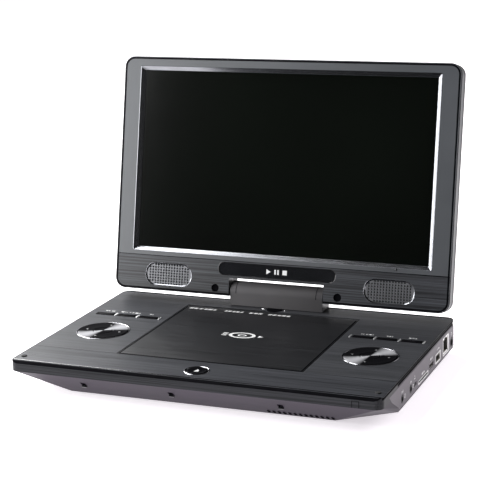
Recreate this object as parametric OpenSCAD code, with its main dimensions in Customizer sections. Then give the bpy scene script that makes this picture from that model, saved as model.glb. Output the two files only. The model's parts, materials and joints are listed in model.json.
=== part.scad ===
// Portable disc player: a clamshell with a swivelling, tilting screen.
// Millimetres, +Z up, standing on z = 0 with the middle of its box at x = y = 0.

/* [Base] */
// Width of the base
body_w = 296; // [290:1:302]
// Depth of the base, from the deck's front edge to the rear wall
base_d = 199; // [196:1:204]
// Height of the deck above the belly
belly_drop = 27.3; // [26.8:0.1:28.5]
// Height of the rubber feet under the belly
foot_h = 1.7; // [1.2:0.1:2.5]
// Height of the crease in the front and side walls, below the deck
crease_drop = 8.5; // [8:0.1:9.5]
// Thickness of the deck panels
plate_t = 2.2; // [2:0.1:2.4]
// Thickness of the lower shell's walls
wall_t = 2.4; // [2.2:0.1:2.6]

/* [Disc lid] */
// Width of the lid
lid_w = 151.2; // [149:0.1:152]
// Front seam of the lid and the deck, behind the deck's front edge
seam_y = 36.2; // [35.5:0.1:36.8]
// Depth of the lid
lid_d = 135.7; // [134.5:0.1:136.5]
// Radius of the disc bay
bay_r = 61.5; // [61:0.1:62]

/* [Controls] */
// Distance of each direction pad from the middle
pad_x = 112.3; // [110:0.1:113]
// Outer radius of the pad's bright ring
pad_r = 21.8; // [21:0.1:22.5]
// Spacing of the function keys
key_pitch = 19.8; // [19:0.1:20.5]
// Length of a function key
key_len = 16.6; // [14:0.1:17.5]
// Radius of the lid button
button_r = 8.1; // [7.5:0.1:9]

/* [Screen] */
// Width of the screen housing
screen_w = 295.5; // [292:0.5:298]
// Height of the screen housing
screen_h = 199.2; // [197:0.1:202]
// Thickness of the screen housing
screen_t = 19; // [18.5:0.1:20]
// Lean of the open screen, from upright
screen_lean = 12.2; // [5:0.1:25]
// Width of the glass that shows
glass_w = 257.6; // [254:0.1:259]
// Height of the glass that shows
glass_h = 151.2; // [149:0.1:153]
// Lower edge of the glass, above the housing's lower edge
glass_low = 36.7; // [35.5:0.1:37.5]

/* [Hinge] */
// Distance of the hinge's two axes behind the deck's front edge
hinge_y = 189.4; // [188.5:0.1:190]
// Height of the tilt axis above the deck
hinge_z = 10.8; // [10.7:0.1:12]
// Width of the hinge cover
hinge_w = 82; // [78:0.5:83]
// Radius of the hinge cover
barrel_r = 8.5; // [8:0.1:8.8]

/* [Hidden] */
$fn = 48;

eps = 0.01;
past = 1;                       // how far a cutter runs past a face
half_w = body_w / 2;
deck_z = foot_h + belly_drop;   // the deck's top face above the table
deck_front_y = -118.6;          // the deck's front edge, so that the box is centred
bulge = 2.6;                    // the front wall stands this far ahead of the deck's edge
plan_r = 6;                     // corner radius of the base in plan
rear_r = 4;                     // rounding of the deck's rear edge
strip_drop = 23.6;              // lower edge of the side walls, below the deck
shadow_top = 4;                 // lower edge of the shadow gap, below the deck
shadow_in = 1;                  // depth of the shadow gap
floor_z = wall_t - belly_drop;  // top face of the belly, in the deck's frame
seam_gap = 0.15;                // half the gap at the deck's front seam
run_gap = 0.05;                 // radial clearance of a running fit

// belly outline: half widths and places behind the deck's front edge
belly_front_x = 107;
belly_front_y = 17.5;
belly_side_x = half_w - 3;
belly_side_y = 47;
side_start_y = 41;

lid_gap = 0.5;
lid_axis_y = seam_y + lid_d - 1.9;
lid_axis_z = -2.5;
lid_round_r = 2.5;
lid_pin_r = 1.1;
disc_y = seam_y + lid_d / 2;
lid_top_y = seam_y + seam_gap;

pad_y = 85.4;
pad_trim_w = 0.95;
pad_clear = 0.35;
pad_key_r = 7.6;
key_y = 128.7;
key_d = 5.4;
key_gap = 0.3;
key_corner_r = 1.4;
cap_up = 0.6;                   // how far the keys stand above the deck
cap_low = 2.5;                  // top of a key's flange, below the deck
cap_deep = 3.4;                 // bottom of a key's flange, below the deck
board_top = 4.4;                // top of the key boards, below the deck
board_t = 1.6;
button_y = 16.5;
button_ring_w = 1.5;

post_r = 3.5;
screw_r = 1.4;
post_places = [[60, 26], [118, 190], [79, 180]];
foot_places = [[95, 29], [125, 178]];
foot_r = 6;

strip_t = 1.5;
strip_x = half_w - strip_t;
strip_split = 76.5;             // where the strip's two lengths meet, behind the round jacks
port_x = half_w - 0.4;          // outer faces of the port parts
port_fit = 0.15;
jack_y = [47.8, 70];
jack_z = -17;
jack_nose_r = 3.2;
jack_bore_r = 1.8;
inlet_y = 188.5;
inlet_z = -17.4;
inlet_nose_r = 4;
inlet_bore_r = 2.75;
slider_y = 79;                  // front end of the power slider
slider_len = 3.4;
slider_travel = 2.4;
// the sockets' lowest and highest corners, seen from the side: (y, z)
card = [[90.6, -20.7], [117.4, -18.1]];
video = [[121.8, -18.9], [133.2, -15.1]];
usb = [[139.5, -20.4], [154, -13.2]];
network = [[162, -21.1], [178.5, -7.1]];
main_board_top = -22.4;
bumper = [half_w - 6.3, 9.5];
bumper_r = 2.3;

axis_up = 4.35;                 // tilt axis above the housing's lower edge
axis_back = screen_t / 2;       // tilt axis behind the housing's front face
bezel_t = 9;
screen_r = 9;
screen_wall = 2;
glass_drop = 3;                 // the glass lies this far behind the front face
receiver = [102.7, 32.4];       // the small round window of the remote receiver
receiver_r = 1.1;
rim_side = 3.7;
rim_top = 3.4;
rim_low = 3.2;
strip_h = 29.6;                 // height of the brushed strip under the glass
strip_plate = 2.5;
notch_x = hinge_w / 2 + 0.9;
notch_h = 15.3;
grille_x = 97.8;
grille_y = 14;
grille_w = 42.7;
grille_h = 19.6;
plug_x = 54.3;
plug_y = 6;
plug_r = 3.4;
pin_r = 1.8;
shaft_r = 6;
barrel_low = 0.5;               // lower edge of the hinge cover above the deck

charcoal = [0.13, 0.14, 0.16];
black = [0.05, 0.05, 0.06];
plum = [0.30, 0.27, 0.31];
silver = [0.75, 0.76, 0.78];
steel = [0.62, 0.63, 0.65];
board_green = [0.08, 0.33, 0.20];

// the deck's frame: origin at the middle of its front edge, on its top face
module at_deck() translate([0, deck_front_y, deck_z]) children();

// the screen's frame: origin at the middle of the front face's lower edge,
// +Y up the face and +Z out of it
module at_screen()
    at_deck() translate([0, hinge_y, hinge_z]) rotate([90 - screen_lean, 0, 0])
        translate([0, -axis_up, axis_back]) children();

module both_sides() {
    children();
    mirror([1, 0, 0]) children();
}

// a block given by its lowest and highest corners
module block(low, high) translate(low) cube(high - low);

// a rectangle with round corners, given by its lowest and highest corners
module round_rect(low, high, r) {
    translate([low.x + r, low.y]) square([high.x - low.x - 2 * r, high.y - low.y]);
    translate([low.x, low.y + r]) square([high.x - low.x, high.y - low.y - 2 * r]);
    for (x = [low.x + r, high.x - r], y = [low.y + r, high.y - r]) translate([x, y]) circle(r);
}

module slab(low_z, high_z) translate([0, 0, low_z]) linear_extrude(high_z - low_z) children();

// a bar along X between two places
module bar_x(from, to, y, z, r)
    translate([from, y, z]) rotate([0, 90, 0]) cylinder(r = r, h = to - from);

// a bar along Y between two places
module bar_y(from, to, x, z, r)
    translate([x, from, z]) rotate([-90, 0, 0]) cylinder(r = r, h = to - from);

module pin(x, y, low_z, high_z, r) translate([x, y, low_z]) cylinder(r = r, h = high_z - low_z);

module base_plan(inset)
    round_rect([inset - half_w, inset - bulge], [half_w - inset, base_d - inset], plan_r);

module belly_plan(inset)
    offset(delta = -inset) polygon([for (s = [-1, 1], p = s < 0
        ? [[belly_front_x, belly_front_y], [belly_side_x, belly_side_y],
           [belly_side_x, base_d - 3]]
        : [[belly_side_x, base_d - 3], [belly_side_x, belly_side_y],
           [belly_front_x, belly_front_y]]) [-s * p.x, p.y]]);

// the lower shell's closed form, drawn in by inset, up to top_z
module shell_form(inset, top_z) hull() {
    slab(-crease_drop, top_z) base_plan(inset, $fn = 32);
    slab(-strip_drop, -strip_drop + 1)
        round_rect([inset - half_w, side_start_y], [half_w - inset, base_d - inset], plan_r,
            $fn = 32);
    slab(inset - belly_drop, inset - belly_drop + 1) belly_plan(inset);
}

// outline of the port strip, seen from the side: (y, z) in the deck's frame
module strip_outline(grow)
    offset(delta = grow) polygon([[15.5, -5.2], [21.5, -11], [42, -22.8], [195.5, -22.8],
        [195.5, -5.2]]);

module side_slab(low_x, high_x)
    translate([low_x, 0, 0]) rotate([90, 0, 90]) linear_extrude(high_x - low_x) children();

// the recess for the port strip on the right, and a groove of its outline on the left
module strip_cuts() {
    side_slab(strip_x, half_w + past) strip_outline(0);
    mirror([1, 0, 0]) side_slab(half_w - 0.8, half_w + past) difference() {
        strip_outline(0.4);
        strip_outline(-0.4);
    }
}

module post_at(p, s) translate([s * p.x, p.y, 0]) children();

// vent slots near the lower edge of the front wall
module vent_slots() for (i = [0:12])
    translate([57 + i * 4.1, 14.6, -24.6]) rotate([-47, 0, 0]) rotate([0, 0, -18])
        cube([1.5, 3, 5], center = true);

module bottom_shell() color(plum) at_deck() difference() {
    union() {
        difference() {
            union() {
                shell_form(0, -shadow_top);
                slab(-shadow_top - eps, -plate_t) intersection() {
                    base_plan(shadow_in);
                    translate([-half_w, seam_y]) square([body_w, base_d - rear_r - seam_y]);
                }
            }
            shell_form(wall_t, past);
            block([-half_w - past, -bulge - past, -crease_drop], [half_w + past, seam_y, past]);
        }
        for (p = post_places, s = [-1, 1]) post_at(p, s)
            pin(0, 0, floor_z - eps, -plate_t, post_r);
    }
    for (p = post_places, s = [-1, 1]) post_at(p, s) {
        pin(0, 0, -belly_drop - past, -plate_t - 3, screw_r);
        pin(0, 0, -belly_drop - past, -belly_drop + 1.6, 3);
    }
    strip_cuts();
    side_slab(half_w - wall_t - past, half_w) strip_outline(-1.6);
    vent_slots();
    window_cuts(0.15);
}

// profile of the deck's rear bridge: (y, z) in the deck's frame
module deck_profile() {
    translate([lid_top_y, -plate_t]) square([base_d - rear_r - lid_top_y, plate_t]);
    translate([base_d - rear_r, -rear_r]) intersection() {
        difference() {
            circle(rear_r);
            circle(rear_r - plate_t);
        }
        square(rear_r);
    }
}

module key_plan(len, deep)
    round_rect([-len / 2, -deep / 2], [len / 2, deep / 2], key_corner_r);

module top_deck() color(charcoal) at_deck() difference() {
    union() {
        intersection() {
            side_slab(-half_w, half_w) deck_profile();
            slab(-rear_r - past, past) base_plan(0);
        }
        for (s = [-1, 1]) translate([s * (lid_w / 2 + 2.6), lid_axis_y, 0])
            block([-2.3, -3.5, -5.5], [2.3, 3.5, -plate_t + eps]);
    }
    block([-lid_w / 2 - lid_gap, 0, -10],
          [lid_w / 2 + lid_gap, lid_axis_y + lid_round_r + 0.4, past]);
    both_sides() {
        bar_x(0, lid_w / 2 + 4, lid_axis_y, lid_axis_z, lid_pin_r + run_gap);
        pin(pad_x, pad_y, -10, past, pad_r);
        for (i = [-1:1]) translate([pad_x + i * key_pitch, key_y, 0])
            slab(-10, past) key_plan(key_len + 2 * key_gap, key_d + 2 * key_gap);
    }
    pin(0, hinge_y, -10, past, shaft_r + 0.6);
}

module front_trim() color(black) at_deck() difference() {
    intersection() {
        side_slab(-half_w, half_w) polygon([[-bulge, -crease_drop], [-bulge, -plate_t],
            [0, 0], [seam_y - seam_gap, 0], [seam_y - seam_gap, -crease_drop]]);
        slab(-crease_drop, past) base_plan(0);
    }
    slab(-crease_drop - past, -plate_t) intersection() {
        base_plan(wall_t);
        translate([-half_w, -bulge]) square([body_w, seam_y + bulge + past]);
    }
    strip_cuts();
    pin(0, button_y, -10, past, button_r + button_ring_w);
    both_sides() pin(bumper.x, bumper.y, -1.2, past, bumper_r);
}

// a length of the port strip between two places behind the deck's front edge
module strip_face(from, to) side_slab(strip_x, half_w) intersection() {
    strip_outline(-0.1);
    translate([from, -belly_drop]) square([to - from, belly_drop]);
}

module port_strip() color(plum) at_deck() difference() {
    strip_face(0, strip_split);
    for (y = jack_y) bar_x(strip_x - past, half_w + past, y, jack_z, jack_nose_r + port_fit);
}

module socket_strip() color(plum) at_deck() difference() {
    strip_face(strip_split, base_d);
    bar_x(strip_x - past, half_w + past, inlet_y, inlet_z, inlet_nose_r + port_fit);
    side_slab(strip_x - past, half_w + past) {
        round_rect([slider_y - 0.4, -18.4],
            [slider_y + slider_len + slider_travel + 0.6, -15.6], 0.6);
        for (p = [card, video, usb, network]) translate(p[0] - [port_fit, port_fit])
            square(p[1] - p[0] + 2 * [port_fit, port_fit]);
    }
}

module rubber_feet() color(black) at_deck() for (p = foot_places, s = [-1, 1]) post_at(p, s)
    translate([0, 0, -belly_drop]) mirror([0, 0, 1]) rotate_extrude()
        polygon([[0, 0], [foot_r, 0], [foot_r, foot_h - 0.5], [foot_r - 0.5, foot_h],
            [0, foot_h]]);

module screw(head_r, head_h, len) {
    difference() {
        cylinder(r = head_r, h = head_h);
        for (a = [0, 90]) rotate([0, 0, a]) translate([0, 0, 0.3])
            cube([2 * head_r * 0.6, 0.7, 0.8], center = true);
    }
    cylinder(r = screw_r, h = len);
}

module base_screws() color(steel) at_deck() for (p = post_places, s = [-1, 1]) post_at(p, s)
    translate([0, 0, 0.2 - belly_drop]) screw(2.8, 1.4, 18);

module deck_bumpers() color(black) at_deck() both_sides()
    translate([bumper.x, bumper.y, -1.2]) rotate_extrude()
        polygon([[0, 0], [bumper_r, 0], [bumper_r, 1.5], [bumper_r - 0.5, 2], [0, 2]]);

module ring(outer, inner, low_z, high_z) difference() {
    pin(0, 0, low_z, high_z, outer);
    pin(0, 0, low_z - past, high_z + past, inner);
}

module trim_rings() color(silver) at_deck() {
    both_sides() translate([pad_x, pad_y, 0]) ring(pad_r, pad_r - pad_trim_w, -plate_t, 0.25);
    translate([0, button_y, 0]) ring(button_r + button_ring_w, button_r + 0.25, -plate_t, 0.3);
}

// the small windows in the front wall
window_x = [-89.5, -17, 69.5];
module window_cuts(grow) for (x = window_x) translate([x, 8, -18.35]) rotate([47, 0, 0])
    translate([-2 - grow, -1.4 - grow, 0]) cube([4 + 2 * grow, 2.8 + 2 * grow, 30 * grow + 1.2],
        center = false);

module front_windows() color(black) at_deck() window_cuts(0);

module disc_well() color(black) at_deck() difference() {
    union() {
        block([-79, 41, -10.2], [79, 160, -plate_t]);
        block([-75, 41, -10.2], [75, disc_y + bay_r + 1.3, -3.2]);
    }
    block([-76.2, 40, -3.2], [76.2, 170, 0]);
    pin(0, disc_y, -8.2, 0, bay_r);
    pin(0, disc_y, -12, 0, 15.5);
    block([-16, disc_y - bay_r, -12], [16, disc_y, -8.2]);
    difference() {
        block([-77, 43, -11], [77, 158, -5.2]);
        pin(0, disc_y, -12, 0, bay_r + 2);
    }
}

sled_y = disc_y - 24;
rod_x = 20;
rod_z = -14;
rod_r = 1.5;
feed_x = 28.5;
feed_z = -15.5;
feed_r = 1.6;
chassis_low = -18.7;
chassis_top = -17.7;
rod_front = 33;
rod_back = 94;

module drive_chassis() color(steel) at_deck() difference() {
    union() {
        block([-36, 30, chassis_low], [36, 122, chassis_top]);
        for (x = [-rod_x, rod_x], y = [rod_front - 2, rod_back])
            block([x - 3, y, chassis_top - eps], [x + 3, y + 3, -11.6]);
        block([feed_x - 3, rod_front - 2, chassis_top - eps], [feed_x + 3, rod_front + 1, -12.6]);
    }
    for (x = [-rod_x, rod_x]) bar_y(rod_front - 3, rod_back + 4, x, rod_z, rod_r);
    bar_y(rod_front - 3, rod_front + 2, feed_x, feed_z, 1 + run_gap);
    block([feed_x - 5.5, rod_back - 1, -20], [feed_x + 5.5, rod_back + 16, -17]);
    block([-12, 50, -20], [12, 66, -17]);
    for (x = [-32, 32], y = [40, 116]) pin(x, y, -20, -17, 1.6);
}

module drive_dampers() color(black) at_deck() for (x = [-32, 32], y = [40, 116])
    translate([x, y, 0]) rotate_extrude() polygon([[0, floor_z], [4, floor_z],
        [4, floor_z + 1.5], [2.8, floor_z + 2.6], [2.8, chassis_low - 2.2],
        [4, chassis_low - 1.2], [4, chassis_low], [1.6, chassis_low],
        [1.6, chassis_top + 0.6], [0, chassis_top + 0.6]]);

module spindle_motor() color(steel) at_deck() translate([0, disc_y, 0]) difference() {
    union() {
        pin(0, 0, chassis_top, -12, 12);
        pin(0, 0, -12 - eps, -11.2, 5);
    }
    pin(0, 0, -16.5, 0, 1 + run_gap);
}

module guide_rods() color(silver) at_deck() for (x = [-rod_x, rod_x])
    bar_y(rod_front - 2, rod_back + 3, x, rod_z, rod_r);

module feed_motor() color(steel) at_deck() difference() {
    bar_y(rod_back - 0.5, rod_back + 15, feed_x, feed_z, 4.4);
    bar_y(rod_back - 1, rod_back + 6, feed_x, feed_z, 1 + run_gap);
}

module feed_screw() color(silver) at_deck() translate([feed_x, rod_front, feed_z])
    rotate([-90, 0, 0]) {
        translate([0, 0, -1.5]) cylinder(r = 1, h = rod_back - rod_front + 6);
        translate([0, 0, 1.5]) rotate_extrude() polygon(concat([[0, 0]],
            [for (i = [0:27], e = [0, 1]) [feed_r - 0.35 * e, i * 2 + e]], [[0, 55]]));
    }

module pickup_sled() color(black) at_deck() difference() {
    union() {
        block([-13, sled_y - 9, -16.6], [13, sled_y + 9, -11]);
        for (s = [-1, 1]) translate([s * rod_x, sled_y, rod_z]) rotate([90, 0, 0])
            cylinder(r = 2.9, h = 14, center = true);
        for (s = [-1, 1]) translate([s * 15.5, sled_y, rod_z]) cube([6, 12, 3.4], center = true);
        block([rod_x + 2.2, sled_y - 3, feed_z - 0.4],
              [feed_x - feed_r - 0.2, sled_y + 3, feed_z + 2.2]);
    }
    for (s = [-1, 1]) bar_y(sled_y - 10, sled_y + 10, s * rod_x, rod_z, rod_r + run_gap);
    pin(0, sled_y, -12.4, -10, 4);
}

module objective_lens() color([0.35, 0.45, 0.75]) at_deck() translate([0, sled_y, -12.4])
    rotate_extrude() polygon(concat([[0, 0], [4, 0], [4, 2.4], [2.6, 2.4]],
        [for (a = [15:15:90]) [2.6 * cos(a), 2.4 + 0.9 * sin(a)]]));

module disc_hub() color(black) at_deck() translate([0, disc_y, 0]) rotate_extrude()
    polygon([[0, -16.2], [1, -16.2], [1, -8.6], [5, -8.6], [6, -7.2], [13.5, -7.2],
        [13.5, -6], [7.45, -6], [7.45, -4.2], [6.4, -3.4], [0, -3.4]]);

module main_board() difference() {
    union() {
        block([84, 44, main_board_top - board_t], [143.5, 194, main_board_top]);
        block([88, 112, main_board_top - eps], [106, 130, main_board_top + 1.4]);
        block([90, 140, main_board_top - eps], [102, 152, main_board_top + 1.2]);
        block([88, 84, main_board_top - eps], [98, 98, main_board_top + 1.6]);
        for (y = [60, 70, 162]) pin(92, y, main_board_top - eps, main_board_top + 7, 3.1);
        block([110, 120, main_board_top - eps], [117, 132, main_board_top + 6]);
    }
    pin(118, 190, -30, 0, post_r + 1);
}

module key_boards() both_sides() {
    slab(-board_top - board_t, -board_top) round_rect([85, 62], [143, 142], 2);
    for (a = [0:90:270]) translate([pad_x, pad_y, 0]) rotate([0, 0, a + 45])
        pin(13.5, 0, -board_top - eps, -board_top + 0.3, 2.2);
}

module circuit_boards() color(board_green) at_deck() {
    main_board();
    key_boards();
}

module battery_pack() color([0.12, 0.18, 0.42]) at_deck() slab(floor_z, -7.6)
    round_rect([-140, 60], [-86, 165], 3);

module jack(y, z, nose_r, bore_r, body) difference() {
    union() {
        bar_x(half_w - 6, port_x, y, z, nose_r);
        block([half_w - 19, y - body, main_board_top], [half_w - 5, y + body, z + body]);
    }
    bar_x(half_w - 17.5, half_w, y, z, bore_r);
}

module audio_jacks() color(black) at_deck() for (y = jack_y)
    jack(y, jack_z, jack_nose_r, jack_bore_r, 3.4);

// a socket body of the given length behind the port strip, open to the outside
module socket(place, len, wall, deep) difference() {
    block([half_w - len, place[0].x, place[0].y], [port_x, place[1].x, place[1].y]);
    block([port_x - deep, place[0].x + wall, place[0].y + wall],
          [port_x + past, place[1].x - wall, place[1].y - wall]);
}

// the blocks that carry a socket on the main board, between two places along Y
module socket_stand(place, low_x, from, to)
    block([half_w - low_x, from, main_board_top], [half_w - 5, to, place[0].y]);

module card_slot() color(steel) at_deck() {
    socket(card, 26, 0.4, 24);
    for (y = [92, 114]) socket_stand(card, 25, y, y + 2);
}

module video_port() color(steel) at_deck() {
    socket(video, 12, 0.5, 9);
    socket_stand(video, 11, 123, 132);
}

module usb_port() color(silver) at_deck() {
    socket(usb, 17, 0.7, 13);
    block([half_w - 13.5, 141.2, -18.2], [half_w - 2.5, 152.3, -16.4]);
    socket_stand(usb, 16, 141, 152.5);
}

module network_jack() color(silver) at_deck() difference() {
    union() {
        socket(network, 21, 1.9, 14);
        socket_stand(network, 21, network[0].x, network[1].x);
    }
    block([half_w - 10, 167.2, -9.1], [half_w + past, 173.3, -7.9]);
}

module power_inlet() color(black) at_deck() {
    jack(inlet_y, inlet_z, inlet_nose_r, inlet_bore_r, 4.6);
    bar_x(half_w - 17.6, half_w - 2, inlet_y, inlet_z, 0.85);
}

module power_slider() color(black) at_deck() {
    block([half_w - 4, slider_y + 0.1, -19.2], [strip_x - 0.3, slider_y + slider_len + 0.1, -14.8]);
    block([strip_x - 0.4, slider_y, -18], [half_w - 0.1, slider_y + slider_len, -16]);
}

module disc_lid() color(black) at_deck() {
    inner_w = lid_w / 2 - 0.25;
    block([-inner_w, lid_top_y + lid_gap, -plate_t], [inner_w, lid_axis_y, 0]);
    intersection() {
        bar_x(-inner_w, inner_w, lid_axis_y, lid_axis_z, lid_round_r);
        block([-inner_w, lid_axis_y - lid_round_r, -6], [inner_w, lid_axis_y + 5, 0]);
    }
    bar_x(-lid_w / 2 - 3.6, lid_w / 2 + 3.6, lid_axis_y, lid_axis_z, lid_pin_r);
    translate([0, disc_y, 0]) ring(16, 12, -2.9, -plate_t + eps);
    block([-7, 37.6, -7], [7, 39.4, -plate_t + eps]);
}

module lid_button() color(charcoal) at_deck() translate([0, button_y, 0]) {
    rotate_extrude() polygon([[0, -2.9], [button_r, -2.9], [button_r, -0.3],
        [button_r - 0.5, 0.2], [0, 0.2]]);
    pin(0, 0, -6, -2.8, 4);
}

module lid_latch() color(black) at_deck() {
    block([-6, 22.5, -9.2], [6, 36.4, -7.7]);
    block([-4, 10, -9.2], [4, 22.6, -8]);
    block([-5, 33.6, -7.8], [5, 36.4, -3.4]);
    block([-4, 36.3, -6.2], [4, 37.3, -4.6]);
}

module pad_ring(s) color(black) at_deck() translate([s * pad_x, pad_y, 0]) difference() {
    union() {
        rotate_extrude() polygon([[0, -3], [pad_r - pad_trim_w - pad_clear, -3],
            [pad_r - pad_trim_w - pad_clear, 0], [pad_r - pad_trim_w - 1.1, cap_up - 0.1],
            [0, cap_up - 0.1]]);
        pin(0, 0, -cap_deep, -cap_low, pad_r + 1.4);
    }
    pin(0, 0, -5, past, pad_key_r + 0.4);
}

module pad_ring_left() pad_ring(-1);
module pad_ring_right() pad_ring(1);

module pad_key(s) color(black) at_deck() translate([s * pad_x, pad_y, 0]) rotate_extrude()
    polygon([[0, -cap_deep], [pad_key_r, -cap_deep], [pad_key_r, cap_up - 0.3],
        [pad_key_r - 0.5, cap_up], [0, cap_up]]);

module pad_key_left() pad_key(-1);
module pad_key_right() pad_key(1);

module function_key(x) color(black) at_deck() translate([x, key_y, 0]) {
    slab(-cap_low - eps, cap_up) key_plan(key_len, key_d);
    slab(-cap_deep, -cap_low) key_plan(key_len + 1.8, key_d + 2);
}

module key_left_outer() function_key(-pad_x - key_pitch);
module key_left_middle() function_key(-pad_x);
module key_left_inner() function_key(-pad_x + key_pitch);
module key_right_inner() function_key(pad_x - key_pitch);
module key_right_middle() function_key(pad_x);
module key_right_outer() function_key(pad_x + key_pitch);

module swivel_bracket() color(steel) at_deck() difference() {
    slab(-5.2, -plate_t) round_rect([-28, 177.5], [28, 196], 2);
    pin(0, hinge_y, -10, past, shaft_r + run_gap);
    for (s = [-1, 1]) pin(s * 22, 187, -10, past, 1.6);
    block([-29, base_d - rear_r - 0.1, -2.9], [29, base_d, 0]);
}

module swivel_shaft() color(silver) at_deck() translate([0, hinge_y, 0]) difference() {
    union() {
        pin(0, 0, -9, 4.5, shaft_r);
        pin(0, 0, -6.9, -5.4, 6.9);
    }
    pin(0, 0, -10, 6, 4);
}

module barrel_section(r, low) {
    translate([hinge_y, hinge_z]) circle(r);
    translate([hinge_y - r, low]) square([2 * r, hinge_z - low]);
}

module hinge_cover() color(charcoal) at_deck() difference() {
    side_slab(-hinge_w / 2, hinge_w / 2) barrel_section(barrel_r, barrel_low);
    side_slab(2 - hinge_w / 2, hinge_w / 2 - 2) barrel_section(barrel_r - 1.5, barrel_low + 1.6);
    pin(0, hinge_y, -past, 3, shaft_r);
    bar_x(-hinge_w, hinge_w, hinge_y, hinge_z, pin_r);
}

module tilt_pins() color(silver) at_deck() translate([0, hinge_y, hinge_z]) {
    both_sides() difference() {
        union() {
            bar_x(hinge_w / 2 - 9, hinge_w / 2 + 7.6, 0, 0, pin_r);
            bar_x(hinge_w / 2 - 8, hinge_w / 2 - 2, 0, 0, 4);
        }
        bar_x(0, hinge_w, 0, 0, 0.95);
    }
}

module display_cable() color([0.2, 0.2, 0.22]) at_deck() translate([0, hinge_y, 0]) {
    pin(0, 0, -12, hinge_z, 1.6);
    translate([0, 0, hinge_z]) sphere(r = 1.6, $fn = 24);
    bar_x(0, hinge_w / 2 + 7, 0, hinge_z, 0.85);
}

module screen_plan(inset)
    round_rect([inset - screen_w / 2, inset], [screen_w / 2 - inset, screen_h - inset], screen_r);

module notch(grow) translate([-notch_x - grow, -past])
    square([2 * (notch_x + grow), notch_h + past + grow]);

module tilt_bore(r) bar_x(-screen_w / 4, screen_w / 4, axis_up, -axis_back, r);

module leaf_room() both_sides() block([notch_x + 1.5, 1.2, -axis_back - 3.2],
    [notch_x + 5.3, 8, -axis_back + 3.2]);

back_screws = [[136, 188], [136, 12]];

module screen_cover() color(charcoal) at_screen() difference() {
    union() {
        difference() {
            hull() {
                slab(-screen_t + 5, -bezel_t) screen_plan(0, $fn = 32);
                slab(-screen_t + 1.4, -screen_t + 2.4) screen_plan(1.5, $fn = 32);
                slab(-screen_t, -screen_t + 1) screen_plan(4.5, $fn = 32);
            }
            slab(-screen_t + screen_wall, 0) difference() {
                screen_plan(3);
                notch(1.6);
            }
        }
        for (p = back_screws, s = [-1, 1]) post_at(p, s)
            pin(0, 0, -screen_t + screen_wall - eps, -bezel_t, 3.2);
    }
    slab(-screen_t - past, 0) notch(0);
    for (p = back_screws, s = [-1, 1]) post_at(p, s) {
        pin(0, 0, -screen_t - past, -bezel_t + past, screw_r);
        pin(0, 0, -screen_t - past, -screen_t + 1.6, 3);
    }
    tilt_bore(pin_r + 0.4);
    leaf_room();
}

module grille_plan(shrink) translate([grille_x, grille_y]) round_rect(
    [shrink - grille_w / 2, shrink - grille_h / 2], [grille_w / 2 - shrink, grille_h / 2 - shrink],
    grille_h / 2 - shrink - 0.4);

module screen_bezel() color(charcoal) at_screen() difference() {
    slab(-bezel_t, 0) screen_plan(0);
    slab(-bezel_t - past, -glass_drop - 1.6) round_rect([-132, glass_low - 2.6],
        [132, glass_low + glass_h + 2.6], 1);
    slab(-glass_drop - 1.7, past) translate([-glass_w / 2, glass_low]) square([glass_w, glass_h]);
    hull() {
        slab(-glass_drop, -glass_drop + eps) translate([-glass_w / 2, glass_low])
            square([glass_w, glass_h]);
        slab(0, eps) translate([-glass_w / 2 - rim_side, glass_low - rim_low])
            square([glass_w + 2 * rim_side, glass_h + rim_low + rim_top]);
    }
    slab(-bezel_t - past, -strip_plate - 1.8) difference() {
        round_rect([-screen_w / 2 + 3, 3], [screen_w / 2 - 3, strip_h + 1], 6);
        notch(1.6);
        for (s = [-1, 1]) translate([s * plug_x, plug_y]) circle(4);
    }
    slab(-strip_plate, past) translate([-screen_w, -past]) square([2 * screen_w, strip_h + past + 0.15]);
    slab(-bezel_t - past, past) notch(0);
    both_sides() {
        slab(-bezel_t - past, past) grille_plan(1);
        pin(plug_x, plug_y, -bezel_t - past, past, screw_r);
    }
    pin(receiver.x, receiver.y, -0.8, past, receiver_r);
    for (p = back_screws, s = [-1, 1]) post_at(p, s)
        pin(0, 0, -bezel_t - past, -bezel_t + 4, screw_r);
    tilt_bore(pin_r + 0.4);
    leaf_room();
}

module name_pill(grow) round_rect([-52.15 - grow, 17.3 - grow], [52.15 + grow, 28.5 + grow],
    5.5 + grow);

module bezel_strip() color(charcoal) at_screen() difference() {
    slab(-strip_plate, 0) intersection() {
        screen_plan(0);
        translate([-screen_w, 0]) square([2 * screen_w, strip_h]);
    }
    slab(-past - strip_plate, past) notch(0);
    slab(-0.9, past) name_pill(0.1);
    both_sides() {
        slab(-strip_plate - past, past) grille_plan(0);
        pin(plug_x, plug_y, -strip_plate - past, past, plug_r);
    }
}

module display_glass() color(black) at_screen() slab(-glass_drop - 1.6, -glass_drop - 0.1)
    translate([-glass_w / 2 + 0.1, glass_low + 0.1]) square([glass_w - 0.2, glass_h - 0.2]);

module display_panel() color([0.4, 0.42, 0.45]) at_screen() {
    slab(-bezel_t, -glass_drop - 1.6)
        translate([-131, glass_low - 2]) square([262, glass_h + 4]);
    for (x = [-110, 0, 110]) translate([x, glass_low + glass_h / 2, -bezel_t - 0.4])
        cube([9, 120, 0.8 + eps], center = true);
}

module screen_board() color(board_green) at_screen() {
    block([-66, 62, -screen_t + 3.4], [66, 100, -screen_t + 3.4 + board_t]);
    for (x = [-60, 60], y = [66, 96]) pin(x, y, -screen_t + screen_wall, -screen_t + 3.4 + eps, 2.2);
    for (x = [-40, -10, 24]) block([x, 72, -screen_t + 5 - eps], [x + 14, 86, -screen_t + 6.4]);
}

module speakers() color(black) at_screen() both_sides() {
    slab(-14.5, -strip_plate - 1.8) translate([grille_x, grille_y + 0.6])
        round_rect([-19.6, -8], [19.6, 8], 7.6);
    pin(grille_x, grille_y + 0.6, -16.4, -14.5 + eps, 7.4);
}

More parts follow.
